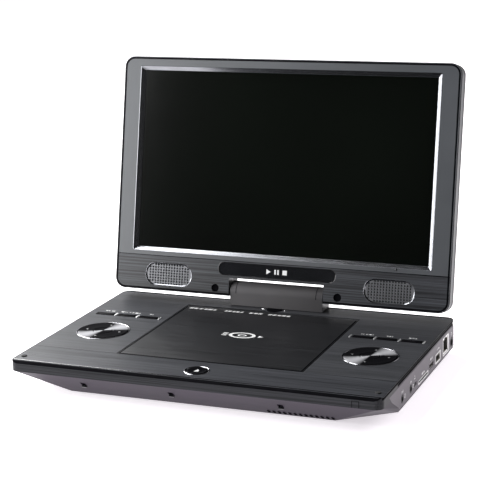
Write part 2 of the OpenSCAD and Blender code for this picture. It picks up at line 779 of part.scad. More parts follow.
module grille_hole(i, j, cols, rows, pitch)
    translate([grille_x + (i - (cols - 1) / 2) * pitch, grille_y + (j - (rows - 1) / 2) * pitch])
        circle(0.75, $fn = 16);

module speaker_grilles() color(black) at_screen() both_sides() {
    slab(-strip_plate, -0.7) difference() {
        grille_plan(0.05);
        for (i = [0:12], j = [0:4]) grille_hole(i, j, 13, 5, 2.8);
    }
    slab(-0.7 - eps, 0) difference() {
        grille_plan(0.05);
        grille_plan(1.1);
    }
}

module name_plate() color(black) at_screen() slab(-0.9, -0.4) name_pill(0);

module screw_plugs() color(black) at_screen() both_sides()
    translate([plug_x, plug_y, -strip_plate]) rotate_extrude()
        polygon([[0, 0], [plug_r - 0.05, 0], [plug_r - 0.05, 2.4], [plug_r - 0.7, 2.4],
            [plug_r - 0.9, 1.9], [0, 1.9]]);

module hinge_leaves() color(steel) at_screen() both_sides() difference() {
    union() {
        bar_x(notch_x + 1.9, notch_x + 4.9, axis_up, -axis_back, 2.9);
        block([notch_x + 1.9, axis_up, -axis_back - 2.6], [notch_x + 4.9, 30.2, -axis_back + 2.6]);
        block([notch_x + 1.9, 18, -screen_t + screen_wall], [notch_x + 14, 30.2, -screen_t + 3.6]);
        block([notch_x + 1.9, 18, -screen_t + 3.6 - eps], [notch_x + 4.9, 30.2, -axis_back]);
    }
    tilt_bore(pin_r + run_gap);
    pin(notch_x + 10, 24.5, -screen_t, -10, 1.5);
}

module screen_screws() color(steel) at_screen() {
    for (p = back_screws, s = [-1, 1]) post_at(p, s)
        translate([0, 0, -screen_t + 0.2]) screw(2.8, 1.4, 13);
    both_sides() translate([plug_x, plug_y, -strip_plate - 0.1]) mirror([0, 0, 1])
        cylinder(r = screw_r, h = 6);
}

module receiver_window() color(black) at_screen()
    pin(receiver.x, receiver.y, -0.8, 0.2, receiver_r);

bottom_shell();
top_deck();
front_trim();
port_strip();
socket_strip();
rubber_feet();
base_screws();
deck_bumpers();
trim_rings();
front_windows();
disc_well();
drive_chassis();
drive_dampers();
spindle_motor();
guide_rods();
feed_motor();
feed_screw();
pickup_sled();
objective_lens();
disc_hub();
circuit_boards();
battery_pack();
audio_jacks();
card_slot();
video_port();
usb_port();
network_jack();
power_inlet();
power_slider();
disc_lid();
lid_button();
lid_latch();
pad_ring_left();
pad_ring_right();
pad_key_left();
pad_key_right();
key_left_outer();
key_left_middle();
key_left_inner();
key_right_inner();
key_right_middle();
key_right_outer();
swivel_bracket();
swivel_shaft();
hinge_cover();
tilt_pins();
display_cable();
screen_cover();
screen_bezel();
bezel_strip();
display_glass();
display_panel();
screen_board();
speakers();
speaker_grilles();
name_plate();
screw_plugs();
hinge_leaves();
screen_screws();
receiver_window();
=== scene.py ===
"""Looks of the portable disc player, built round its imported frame. Everything is in metres."""
import json
from math import atan2, cos, pi, radians, sin, sqrt

import bmesh
import bpy
from mathutils import Matrix, Vector
from mathutils.bvhtree import BVHTree


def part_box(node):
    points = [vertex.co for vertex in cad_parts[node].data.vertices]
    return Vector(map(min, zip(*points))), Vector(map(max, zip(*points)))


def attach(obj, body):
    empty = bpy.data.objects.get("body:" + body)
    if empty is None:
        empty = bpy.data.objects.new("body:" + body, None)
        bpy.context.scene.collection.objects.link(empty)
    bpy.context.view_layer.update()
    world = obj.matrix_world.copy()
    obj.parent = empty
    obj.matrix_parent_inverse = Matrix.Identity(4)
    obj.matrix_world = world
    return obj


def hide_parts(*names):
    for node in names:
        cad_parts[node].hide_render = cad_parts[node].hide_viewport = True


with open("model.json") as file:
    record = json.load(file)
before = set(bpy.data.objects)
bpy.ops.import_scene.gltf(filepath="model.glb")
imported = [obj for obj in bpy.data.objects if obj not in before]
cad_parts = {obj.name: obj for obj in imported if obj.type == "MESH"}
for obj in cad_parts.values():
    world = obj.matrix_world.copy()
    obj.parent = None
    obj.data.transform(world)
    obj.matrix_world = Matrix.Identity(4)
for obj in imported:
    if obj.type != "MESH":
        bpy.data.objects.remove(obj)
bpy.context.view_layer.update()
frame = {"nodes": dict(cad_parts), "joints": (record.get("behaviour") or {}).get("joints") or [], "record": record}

MM = 0.001
NODES = frame["nodes"]
JOINTS = {joint["name"]: joint for joint in frame["joints"]}
SLOTS = {part["node"]: part["material_slot"] for part in frame["record"]["subparts"]}

# ---------------------------------------------------------------- places

DECK_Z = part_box("top_deck")[1].z
FRONT_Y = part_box("front_trim")[0].y + 2.6 * MM    # the deck's front edge, behind the front trim's bulge
SIDE_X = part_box("port_strip")[1].x
LEAN = -radians(JOINTS["screen_tilt"]["range_deg"][0]) - pi / 2
TILT_AXIS = Vector(JOINTS["screen_tilt"]["pos_m"])
AXIS_UP = 4.35 * MM                               # tilt axis above the screen's lower edge
SCREEN_T = 19 * MM

# the screen's own frame: origin at the middle of its front face's lower edge, +Y up the face, +Z out of it
SCREEN = (Matrix.Translation(TILT_AXIS) @ Matrix.Rotation(pi / 2 - LEAN, 4, "X")
          @ Matrix.Translation((0, -AXIS_UP, SCREEN_T / 2)))
# the deck's frame: +Y to the rear from its front edge, +Z up from its top
DECK = Matrix.Translation((0, FRONT_Y, DECK_Z))
# the right side's frame: +X to the rear, +Y up, +Z out of the side
SIDE = Matrix.Translation((SIDE_X, FRONT_Y, DECK_Z)) @ Matrix(
    ((0, 0, 1, 0), (1, 0, 0, 0), (0, 1, 0, 0), (0, 0, 0, 1)))

# places and sizes in millimetres, in those frames
GLASS_W, GLASS_H, GLASS_LOW = 257.6, 151.2, 36.7
GLASS_MID = GLASS_LOW + GLASS_H / 2
GRILLE_X, GRILLE_Y, GRILLE_W, GRILLE_H = 97.8, 14, 42.7, 19.6
PLATE_Y, SEAM_Y = 22.9, 29.7
PLUG_X, PLUG_Y = 54.3, 6
NOTCH_X = 41.9                                    # half the hinge notch in the screen's lower edge
PAD, PAD_TRIM_R = (112.3, 85.4), 21.8
KEY_Y, KEY_PITCH, KEY_L, KEY_D, KEY_CORNER = 128.7, 19.8, 16.6, 5.4, 1.4
BUTTON = (0, 16.5)
LID_MARK = (0, 106.0)
INLET = (188.5, -17.4)
DECK_HALF, DECK_CORNER, TRIM_DEPTH = 148, 6, 36.0

# ---------------------------------------------------------------- camera, floor and light

CAMERA_AT = Vector((0.44685, -1.09185, 0.39925))
CAMERA_YAW, CAMERA_PITCH, CAMERA_ROLL = radians(22.46), radians(14.06), radians(-1.8)
CAMERA_LENS = 116.06
FLOOR_REACH, FLOOR_GLOW, FLOOR_FAR_GLOW = 9, 0.92, 0.2
# the base's stand on the floor, and the painted contact shadow round it: the share of glow left beside the base,
# and from where to where that share lasts
BASE_MIDDLE, BASE_HALF = (0, -0.016, 0), (0.126, 0.088, 1)
PAINTED_SHADOW_KEEP, PAINTED_SHADOW_FROM, PAINTED_SHADOW_TO = 0.66, -0.004, 0.024


def make_camera():
    data = bpy.data.cameras.new("camera")
    data.lens = CAMERA_LENS
    data.clip_end = 20
    camera = bpy.data.objects.new("camera", data)
    bpy.context.scene.collection.objects.link(camera)
    camera.matrix_world = (Matrix.Translation(CAMERA_AT) @ Matrix.Rotation(CAMERA_YAW, 4, "Z")
                           @ Matrix.Rotation(pi / 2 - CAMERA_PITCH, 4, "X")
                           @ Matrix.Rotation(CAMERA_ROLL, 4, "Z"))
    bpy.context.scene.camera = camera


def toward(azimuth, elevation, distance):
    """A place seen from the object at this azimuth (0 along +X, 90 along +Y) and elevation."""
    a, e = radians(azimuth), radians(elevation)
    return Vector((cos(a) * cos(e), sin(a) * cos(e), sin(e))) * distance


def softbox(name, azimuth, elevation, distance, size, radiance):
    """A square area light that looks at the object, with its brightness given as radiance."""
    data = bpy.data.lights.new(name, "AREA")
    data.size = size
    data.energy = radiance * pi * size * size
    light = bpy.data.objects.new(name, data)
    bpy.context.scene.collection.objects.link(light)
    light.location = toward(azimuth, elevation, distance)
    light.rotation_euler = (Vector((0, 0, 0.06)) - light.location).to_track_quat("-Z", "Y").to_euler()
    light.visible_camera = False
    return light


def stage_mesh(name, verts, faces, color, glow, glow_color):
    """A matt stage surface that also glows by itself."""
    mesh = bpy.data.meshes.new(name)
    mesh.from_pydata(verts, [], faces)
    paint = bpy.data.materials.new(name)
    paint.use_nodes = True
    shader = paint.node_tree.nodes["Principled BSDF"]
    shader.inputs["Base Color"].default_value = (*color, 1)
    shader.inputs["Roughness"].default_value = 0.8
    shader.inputs["Emission Color"].default_value = (*glow_color, 1)
    shader.inputs["Emission Strength"].default_value = glow
    mesh.materials.append(paint)
    obj = bpy.data.objects.new(name, mesh)
    bpy.context.scene.collection.objects.link(obj)
    return paint


def fade_glow_and_paint_shadow(paint, away, start, end, high, low):
    """The surface's glow falls from high to low along the direction away, and is cut round the base as a painted
    contact shadow.
    """
    tree = paint.node_tree
    place = tree.nodes.new("ShaderNodeTexCoord").outputs["Object"]

    def vector_step(operation, first, second=(0, 0, 0)):
        step = tree.nodes.new("ShaderNodeVectorMath")
        step.operation = operation
        tree.links.new(first, step.inputs[0])
        step.inputs[1].default_value = second
        return step.outputs

    def ramp(field, near, far, at_near, at_far):
        fade = tree.nodes.new("ShaderNodeMapRange")
        fade.interpolation_type = "SMOOTHSTEP"
        for socket, value in (("From Min", near), ("From Max", far),
                              ("To Min", at_near), ("To Max", at_far)):
            fade.inputs[socket].default_value = value
        tree.links.new(field, fade.inputs["Value"])
        return fade.outputs["Result"]

    along = vector_step("DOT_PRODUCT", place, away)["Value"]
    # painted contact shadow: the glow is cut near the base's stand, by the distance from it
    apart = vector_step("ABSOLUTE", vector_step("SUBTRACT", place, BASE_MIDDLE)["Vector"])["Vector"]
    past = vector_step("MAXIMUM", vector_step("SUBTRACT", apart, BASE_HALF)["Vector"])["Vector"]
    gap = vector_step("LENGTH", past)["Value"]
    both = tree.nodes.new("ShaderNodeMath")
    both.operation = "MULTIPLY"
    tree.links.new(ramp(along, start, end, high, low), both.inputs[0])
    tree.links.new(ramp(gap, PAINTED_SHADOW_FROM, PAINTED_SHADOW_TO, PAINTED_SHADOW_KEEP, 1.0), both.inputs[1])
    tree.links.new(both.outputs["Value"], tree.nodes["Principled BSDF"].inputs["Emission Strength"])


def make_studio():
    """A white floor, a grey screen that stands round the back, and soft lights."""
    corners = [(x * FLOOR_REACH, y * FLOOR_REACH, 0) for x, y in ((-1, -1), (1, -1), (1, 1), (-1, 1))]
    # the floor's faint purple glow tint is painted colour bleed from the plum shell, seen where the painted shadow
    # cuts the glow
    floor = stage_mesh("floor", corners, [(0, 1, 2, 3)], (0.8, 0.8, 0.8), FLOOR_GLOW, (1.0, 0.95, 1.0))
    fade_glow_and_paint_shadow(floor, (0.4, -0.92, 0), 0.36, 0.95, FLOOR_GLOW, FLOOR_FAR_GLOW)
    around = [toward(azimuth, 0, 2.9) for azimuth in range(28, 189, 8)]
    verts = [(v.x, v.y, z) for v in around for z in (0.25, 2.2)]
    faces = [(2 * i, 2 * i + 2, 2 * i + 3, 2 * i + 1) for i in range(len(around) - 1)]
    stage_mesh("back_screen", verts, faces, (0.5, 0.5, 0.5), 0.26, (1, 1, 1))

    world = bpy.data.worlds.new("studio")
    bpy.context.scene.world = world
    world.use_nodes = True
    world.node_tree.nodes["Background"].inputs["Color"].default_value = (1, 1, 1, 1)
    world.node_tree.nodes["Background"].inputs["Strength"].default_value = 0.05

    overhead = softbox("overhead_softbox", 168, 52, 1.75, 1.0, 11)
    overhead.rotation_euler = (0, 0, 0)    # it faces straight down
    softbox("left_rear_softbox", 142, 33, 1.7, 0.7, 20)
    softbox("left_front_softbox", 217, 17, 1.4, 0.85, 10)
    softbox("left_low_softbox", 176, 6, 1.4, 0.5, 12)


# ---------------------------------------------------------------- materials

class Finish:
    """A procedural material being built: its node tree, and short ways to add nodes to it."""

    def __init__(self, name, color, roughness, metallic=0.0, **sockets):
        self.material = bpy.data.materials.new(name)
        self.material.use_nodes = True
        self.tree = self.material.node_tree
        self.shader = self.tree.nodes["Principled BSDF"]
        self.color, self.roughness = color, roughness
        self.shader.inputs["Base Color"].default_value = (*color, 1)
        self.shader.inputs["Roughness"].default_value = roughness
        self.shader.inputs["Metallic"].default_value = metallic
        for socket, value in sockets.items():
            self.shader.inputs[socket.replace("_", " ")].default_value = value
        self.place = self.add("ShaderNodeTexCoord").outputs["Object"]
        self.height = None

    def add(self, kind, inputs=(), **settings):
        node = self.tree.nodes.new(kind)
        for key, value in settings.items():
            setattr(node, key, value)
        for key, value in dict(inputs).items():
            if isinstance(value, bpy.types.NodeSocket):
                self.tree.links.new(value, node.inputs[key])
            else:
                node.inputs[key].default_value = value
        return node

    def noise(self, scale, detail=3.0, roughness=0.55, stretch=(1, 1, 1), distortion=0.0):
        """A noise field of so many features per metre, 0 to 1, stretched by axis."""
        mapping = self.add("ShaderNodeMapping", {"Vector": self.place, "Scale": stretch})
        return self.add("ShaderNodeTexNoise", {
            "Vector": mapping.outputs["Vector"], "Scale": scale, "Detail": detail,
            "Roughness": roughness, "Distortion": distortion}).outputs["Fac"]

    def spread(self, field, low, high, start=0.3, end=0.7):
        """The field carried from start..end to low..high."""
        return self.add("ShaderNodeMapRange", {
            "Value": field, "From Min": start, "From Max": end, "To Min": low,
            "To Max": high}).outputs["Result"]

    def tint(self, field, low, high, start=0.3, end=0.7):
        """Colour that goes from low to high as the field goes from start to end."""
        ramp = self.add("ShaderNodeValToRGB", {"Fac": field})
        ramp.color_ramp.elements[0].position = start
        ramp.color_ramp.elements[0].color = (*low, 1)
        ramp.color_ramp.elements[1].position = end
        ramp.color_ramp.elements[1].color = (*high, 1)
        self.set("Base Color", ramp.outputs["Color"])

    def shade(self, field, amount):
        """Base colour varied by the field, darker and lighter by the share amount."""
        low = [c * (1 - amount) for c in self.color]
        high = [c * (1 + amount) for c in self.color]
        self.tint(field, low, high)

    def rough(self, field, amount):
        self.set("Roughness", self.spread(field, self.roughness - amount, self.roughness + amount))

    def bump(self, field, strength, distance):
        """Adds the field as relief, distance in metres."""
        inputs = {"Height": field, "Strength": strength, "Distance": distance}
        if self.height is not None:
            inputs["Normal"] = self.height
        self.height = self.add("ShaderNodeBump", inputs).outputs["Normal"]
        self.set("Normal", self.height)

    def set(self, socket, value):
        self.tree.links.new(value, self.shader.inputs[socket])


def brushed_plastic(name, dark, light, roughness, ior=1.5, upright_shade_keep=1.0):
    """Satin panel with a hairline grain along X; faces that look sideways or down get painted shade, holding only
    the given share of their colour.
    """
    finish = Finish(name, light, roughness, IOR=ior)
    streaks = finish.noise(900, 4, 0.7, stretch=(0.006, 1, 1))
    fine = finish.noise(3200, 2, 0.6, stretch=(0.004, 1, 1))
    both = finish.add("ShaderNodeMath", {0: streaks, 1: fine}, operation="ADD")
    half = finish.add("ShaderNodeMath", {0: both.outputs[0], 1: 0.5}, operation="MULTIPLY").outputs[0]
    finish.tint(half, dark, light, 0.42, 0.6)
    finish.rough(half, 0.07)
    finish.bump(half, 0.35, 0.00006)
    # painted shade: colour falls off from faces that look up to those that look sideways or down
    if upright_shade_keep < 1:
        color = finish.shader.inputs["Base Color"].links[0].from_socket
        normal = finish.add("ShaderNodeTexCoord").outputs["Normal"]
        upward = finish.add("ShaderNodeSeparateXYZ", {"Vector": normal}).outputs["Z"]
        shade_keep = finish.spread(upward, upright_shade_keep, 1.0, 0.2, 0.9)
        shaded_color = finish.add("ShaderNodeVectorMath", {0: color, "Scale": shade_keep}, operation="SCALE")
        finish.set("Base Color", shaded_color.outputs["Vector"])
    return finish.material


def satin_plastic(name, color, roughness, grain=1500, relief=0.12, ior=1.5):
    """Moulded plastic with a fine even grain and faint cloudiness."""
    finish = Finish(name, color, roughness, IOR=ior)
    clouds = finish.noise(14, 3)
    finish.shade(clouds, 0.12)
    finish.rough(clouds, 0.03)
    finish.bump(finish.noise(grain, 2, 0.6), relief, 0.00005)
    return finish.material


def gloss_plastic(name, color, roughness=0.09, coat=0.4, ior=1.5):
    """Polished plastic with faint handling marks."""
    finish = Finish(name, color, roughness, Coat_Weight=coat, Coat_Roughness=0.05, IOR=ior)
    smears = finish.noise(45, 4, 0.6, stretch=(1, 0.4, 1))
    finish.shade(smears, 0.15)
    finish.rough(smears, 0.035)
    finish.bump(finish.noise(120, 2), 0.02, 0.0002)
    return finish.material


def bright_metal(name, color, roughness=0.16):
    """Polished trim with fine scratches."""
    finish = Finish(name, color, roughness, metallic=1.0)
    scratches = finish.noise(1500, 3, 0.7, stretch=(0.05, 1, 1))
    finish.shade(finish.noise(60), 0.08)
    finish.rough(scratches, 0.05)
    finish.bump(scratches, 0.08, 0.00003)
    return finish.material


def brushed_metal(name, color, roughness=0.34):
    """Rolled or turned steel with its grain along Y."""
    finish = Finish(name, color, roughness, metallic=1.0)
    grain = finish.noise(2400, 3, 0.7, stretch=(1, 0.02, 1))
    finish.shade(grain, 0.14)
    finish.rough(grain, 0.09)
    finish.bump(grain, 0.2, 0.00004)
    return finish.material


def soft_rubber(name, color):
    """Dull moulded rubber, a little dusty."""
    finish = Finish(name, color, 0.78, Specular_IOR_Level=0.3)
    finish.shade(finish.noise(90), 0.25)
    finish.bump(finish.noise(2200, 3), 0.35, 0.00008)
    return finish.material


def circuit_board(name):
    """Solder mask over copper: thin traces and a slight weave."""
    finish = Finish(name, (0.02, 0.13, 0.07), 0.35, Coat_Weight=0.3)
    bricks = finish.add("ShaderNodeTexBrick", {
        "Vector": finish.place, "Color1": (0.015, 0.11, 0.06, 1), "Color2": (0.02, 0.14, 0.075, 1),
        "Mortar": (0.05, 0.24, 0.12, 1), "Scale": 220.0, "Mortar Size": 0.03})
    finish.set("Base Color", bricks.outputs["Color"])
    finish.rough(finish.noise(400), 0.08)
    finish.bump(bricks.outputs["Fac"], 0.2, 0.00005)
    return finish.material


def shrink_wrap(name):
    """Glossy heat-shrunk film with long folds."""
    finish = Finish(name, (0.02, 0.045, 0.16), 0.3, Coat_Weight=0.2)
    folds = finish.noise(70, 4, 0.6, stretch=(1, 0.3, 1), distortion=0.6)
    finish.shade(folds, 0.2)
    finish.rough(folds, 0.08)
    finish.bump(folds, 0.3, 0.0006)
    return finish.material


def lens_coating(name):
    """Clear lens with a blue to violet coating."""
    finish = Finish(name, (0.16, 0.22, 0.55), 0.06, Coat_Weight=1.0, Coat_Roughness=0.02)
    finish.tint(finish.noise(260, 2), (0.10, 0.16, 0.5), (0.28, 0.2, 0.6))
    finish.rough(finish.noise(900), 0.02)
    return finish.material


def spun_gloss_painted_fans(name, highlight_turn=52, highlight_count=2):
    """Black key finish with fine turned circles of relief, and painted highlights: bright wedges painted into the
    colour round the piece's middle, the first at the given angle in degrees.
    """
    finish = Finish(name, (0.2, 0.2, 0.21), 0.4, IOR=1.03)
    spot = finish.add("ShaderNodeSeparateXYZ", {"Vector": finish.place})
    turn = finish.add("ShaderNodeMath", {0: spot.outputs["Y"], 1: spot.outputs["X"]}, operation="ARCTAN2")
    off = finish.add("ShaderNodeMath", {0: turn.outputs[0], 1: radians(highlight_turn)}, operation="SUBTRACT")
    swing = finish.add("ShaderNodeMath", {0: off.outputs[0], 1: float(highlight_count)}, operation="MULTIPLY")
    painted_highlight = finish.add("ShaderNodeMath", {0: swing.outputs[0]}, operation="COSINE")
    # painted highlight: the colour brightens in wedges round the middle, standing in for the turned finish's
    # reflections
    finish.tint(painted_highlight.outputs[0], (0.006, 0.006, 0.007), (0.40, 0.40, 0.42), 0.35, 1.0)
    rings = finish.add("ShaderNodeTexWave", {
        "Vector": finish.place, "Scale": 700.0, "Distortion": 0.6, "Detail": 1.0},
        wave_type="RINGS", rings_direction="Z").outputs["Fac"]
    finish.rough(finish.noise(500, 3), 0.04)
    finish.bump(rings, 0.06, 0.00004)
    return finish.material


def printed_ink(name, color):
    """Screen-printed ink, slightly uneven."""
    finish = Finish(name, color, 0.45)
    grain = finish.noise(1800, 3)
    finish.shade(grain, 0.06)
    finish.rough(grain, 0.08)
    finish.bump(grain, 0.1, 0.00003)
    return finish.material


def screen_face(name):
    """The dark display under its clear front: nearly black, with a faint film."""
    finish = Finish(name, (0.002, 0.0025, 0.002), 0.12, IOR=1.3)
    film = finish.noise(5, 2, 0.4)
    finish.tint(film, (0.0012, 0.0016, 0.0012), (0.003, 0.0042, 0.003))
    finish.rough(finish.noise(60, 3), 0.004)
    finish.bump(finish.noise(40, 2), 0.01, 0.00002)
    return finish.material


def anodised(name, color, roughness):
    """Grey perforated sheet with a satin coat."""
    finish = Finish(name, color, roughness, metallic=0.55)
    finish.shade(finish.noise(40, 3), 0.1)
    finish.rough(finish.noise(700, 2), 0.05)
    finish.bump(finish.noise(1900, 2), 0.08, 0.00004)
    return finish.material


def dull_black(name, roughness):
    """Black that hardly reflects: edge lacquer on some pieces, painted shade over seams and gaps on others."""
    finish = Finish(name, (0.004, 0.004, 0.005), roughness, IOR=1.04)
    haze = finish.noise(70, 3)
    finish.shade(haze, 0.3)
    finish.rough(haze, 0.05)
    finish.bump(finish.noise(1400, 2), 0.06, 0.00004)
    return finish.material


MATERIALS = {name: maker(name, *values) for name, maker, *values in (
    ("plum_shell", satin_plastic, (0.032, 0.025, 0.037), 0.42, 1100, 0.25, 1.26),
    # the side strips' plum: a lighter copy of the shell's plum whose extra lightness is painted light on the
    # socket side; its coarser grain is the plastic's own
    ("strip_plum", satin_plastic, (0.15, 0.135, 0.155), 0.5, 900, 0.35),
    ("brushed_deck", brushed_plastic, (0.026, 0.027, 0.030), (0.078, 0.080, 0.088), 0.34, 1.19),
    # the front trim: darker than the deck's brushed finish, with painted shade on its faces that look forward or
    # down
    ("brushed_trim", brushed_plastic, (0.018, 0.019, 0.022), (0.068, 0.070, 0.079), 0.32, 1.20, 0.5),
    ("satin_black", brushed_plastic, (0.004, 0.0042, 0.005), (0.022, 0.0225, 0.025), 0.32, 1.40),
    ("bezel_strip", brushed_plastic, (0.004, 0.0045, 0.006), (0.052, 0.056, 0.066), 0.36, 1.45),
    ("gloss_black", gloss_plastic, (0.008, 0.0085, 0.010)),
    ("key_gloss", gloss_plastic, (0.005, 0.005, 0.006), 0.16, 0.0, 1.07),
    # black for edges, also laid as painted shade over seams and gaps
    ("edge_black", dull_black, 0.42),
    # black for the painted shade round the lid's seam
    ("lid_edge_black", dull_black, 0.6),
    ("rim_black", gloss_plastic, (0.01, 0.01, 0.011), 0.12),
    ("plug_black", dull_black, 0.7),
    ("bezel_satin", satin_plastic, (0.036, 0.041, 0.048), 0.42, 1700, 0.1, 1.62),
    ("barrel_satin", satin_plastic, (0.095, 0.092, 0.096), 0.5, 1500, 0.15, 1.15),
    ("cover_black", satin_plastic, (0.008, 0.0085, 0.010), 0.42, 1300, 0.15, 1.3),
    ("dark_steel", brushed_metal, (0.06, 0.06, 0.065), 0.4),
    ("socket_metal", bright_metal, (0.85, 0.85, 0.85), 0.45),
    ("strip_metal", anodised, (0.15, 0.153, 0.163), 0.36),
    ("surround_gloss", bright_metal, (0.21, 0.215, 0.23), 0.2),
    ("dark_chrome", bright_metal, (0.34, 0.34, 0.36), 0.12),
    ("screen_glass", screen_face),
    ("panel_frame", brushed_metal, (0.35, 0.36, 0.37), 0.4),
    ("bright_trim", bright_metal, (0.82, 0.82, 0.84)),
    ("machined_steel", brushed_metal, (0.45, 0.46, 0.48)),
    ("black_plastic", satin_plastic, (0.010, 0.010, 0.012), 0.48, 1300, 0.2),
    ("white_plastic", satin_plastic, (0.62, 0.62, 0.6), 0.45, 1300, 0.1),
    ("rubber", soft_rubber, (0.016, 0.016, 0.017)),
    ("circuit_board", circuit_board),
    ("battery_wrap", shrink_wrap),
    ("lens_glass", lens_coating),
    ("jack_shell", bright_metal, (0.72, 0.71, 0.69), 0.22),
    ("gold_contact", bright_metal, (0.85, 0.62, 0.3), 0.2),
    # the pads' key finish, with painted highlights
    ("spun_key", spun_gloss_painted_fans),
    ("white_print", printed_ink, (0.8, 0.8, 0.8)),
    ("grey_print", printed_ink, (0.28, 0.28, 0.29)),
)}


# ---------------------------------------------------------------- mesh helpers, in millimetres

def rounded(width, height, radius, at=(0, 0), steps=6):
    """Outline of a rectangle with round corners."""
    points = []
    for k, (sx, sy) in enumerate(((1, 1), (-1, 1), (-1, -1), (1, -1))):
        for i in range(steps + 1):
            a = pi / 2 * (k + i / steps)
            points.append((at[0] + sx * (width / 2 - radius) + radius * cos(a),
                           at[1] + sy * (height / 2 - radius) + radius * sin(a)))
    return points


def circle(radius, at=(0, 0), steps=96):
    return [(at[0] + radius * cos(2 * pi * i / steps), at[1] + radius * sin(2 * pi * i / steps))
            for i in range(steps)]


def level(outline, z):
    return [(x, y, z) for x, y in outline]


def skin(loops, ring=False):
    """Faces between loops of equal length; the ends are capped, or joined when it is a ring."""
    count = len(loops[0])
    verts = [v for loop in loops for v in loop]
    faces = []
    for i in range(len(loops) if ring else len(loops) - 1):
        a, b = i * count, (i + 1) % len(loops) * count
        faces += [(a + j, a + (j + 1) % count, b + (j + 1) % count, b + j) for j in range(count)]
    if not ring:
        faces += [tuple(range(count))[::-1], tuple((len(loops) - 1) * count + j for j in range(count))]
    return verts, faces


def prism(outline, low, high):
    return skin([level(outline, low), level(outline, high)])


def turned(profile, at=(0, 0), ring=False, steps=96):
    """A body of revolution about Z from its profile of (radius, z)."""
    return skin([level(circle(max(r, 0.02), at, steps), z) for r, z in profile], ring)


def crowned(width, height, radius, profile, at=(0, 0)):
    """A cap with a rounded-rectangle plan from its profile of (inset, z)."""
    return skin([level(rounded(width - 2 * inset, height - 2 * inset, max(radius - inset, 0.15), at), z)
                 for inset, z in profile])


def pierced(outlines, low, high):
    """A plate whose outline is the first of the outlines and whose holes are the others."""
    curve = bpy.data.curves.new("outline", "CURVE")
    curve.dimensions = "2D"
    curve.fill_mode = "BOTH"
    curve.extrude = (high - low) / 2
    for outline in outlines:
        spline = curve.splines.new("POLY")
        spline.points.add(len(outline) - 1)
        for point, (x, y) in zip(spline.points, outline):
            point.co = (x, y, 0, 1)
        spline.use_cyclic_u = True
    holder = bpy.data.objects.new("outline", curve)
    mesh = bpy.data.meshes.new_from_object(holder)
    verts = [(v.co.x, v.co.y, v.co.z + (low + high) / 2) for v in mesh.vertices]
    faces = [tuple(p.vertices) for p in mesh.polygons]
    bpy.data.objects.remove(holder)
    bpy.data.curves.remove(curve)
    bpy.data.meshes.remove(mesh)
    return verts, faces


def merge(shapes):
    verts, faces = [], []
    for more_verts, more_faces in shapes:
        faces += [tuple(i + len(verts) for i in face) for face in more_faces]
        verts += more_verts
    return verts, faces


def sweep(path, profile):
    """A profile of (outward, z) carried along a path of (x, y) that runs with its outside on the right."""
    loops = []
    for i, (x, y) in enumerate(path):
        before, after = path[max(i - 1, 0)], path[min(i + 1, len(path) - 1)]
        along = Vector((after[0] - before[0], after[1] - before[1])).normalized()
        loops.append([(x + along.y * out, y - along.x * out, z) for out, z in profile])
    return skin(loops)


def placed(shape, x=0, y=0, z=0):
    return [(v[0] + x, v[1] + y, v[2] + z) for v in shape[0]], shape[1]


def make(name, shape, frame_at, body, material, stands_for=(), crease=32):
    """A piece from a shape in millimetres in a local frame, riding on a body."""
    verts, faces = shape
    mesh = bpy.data.meshes.new(name)
    mesh.from_pydata([Vector(v) * MM for v in verts], [], faces)
    work = bmesh.new()
    work.from_mesh(mesh)
    bmesh.ops.remove_doubles(work, verts=work.verts, dist=0.0002 * MM)
    bmesh.ops.recalc_face_normals(work, faces=work.faces)
    work.to_mesh(mesh)
    work.free()
    mesh.shade_smooth()
    mesh.set_sharp_from_angle(angle=radians(crease))
    mesh.materials.append(MATERIALS[material])
    obj = bpy.data.objects.new(name, mesh)
    bpy.context.scene.collection.objects.link(obj)
    obj.matrix_world = frame_at
    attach(obj, body)
    if stands_for:
        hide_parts(*stands_for)


def soften(obj, width, segments=3, angle=35):
    """Rounds a piece's sharp edges: flat faces are merged first, so that the rounding runs clean."""
    flat = obj.modifiers.new("merge_flats", "DECIMATE")
    flat.decimate_type = "DISSOLVE"
    flat.angle_limit = radians(0.5)
    bevel = obj.modifiers.new("round_edges", "BEVEL")
    bevel.width = width
    bevel.segments = segments
    bevel.limit_method = "ANGLE"
    bevel.angle_limit = radians(angle)
    bevel.harden_normals = True


def dress_frame():
    """Every CAD node gets its slot's material."""
    for name, obj in NODES.items():
        obj.data.materials.clear()
        obj.data.materials.append(MATERIALS[SLOTS[name]])


# ---------------------------------------------------------------- printed marks, plain shapes

def bar(x, y, w, h):
    """A rectangle round its middle."""
    return [(x - w / 2, y - h / 2), (x + w / 2, y - h / 2), (x + w / 2, y + h / 2), (x - w / 2, y + h / 2)]


def wedge(x, y, size, turn=0.0):
    """A triangle that points along +X, turned by so many degrees."""
    return [(x + size * cos(radians(turn) + a), y + size * sin(radians(turn) + a))
            for a in (0, 2 * pi / 3, 4 * pi / 3)]


def ink(outlines, low=-0.02, high=0.03):
    return merge([prism(outline, low, high) for outline in outlines])


def ink_ring(outer, inner, at=(0, 0), squash=1.0, low=-0.02, high=0.03, steps=64):
    """A flat ring, squashed in y."""
    loops = [[(at[0] + r * cos(2 * pi * i / steps), at[1] + squash * r * sin(2 * pi * i / steps), z)
              for i in range(steps)] for r, z in ((outer, low), (outer, high), (inner, high), (inner, low))]
    return skin(loops, ring=True)


# ---------------------------------------------------------------- the screen's front

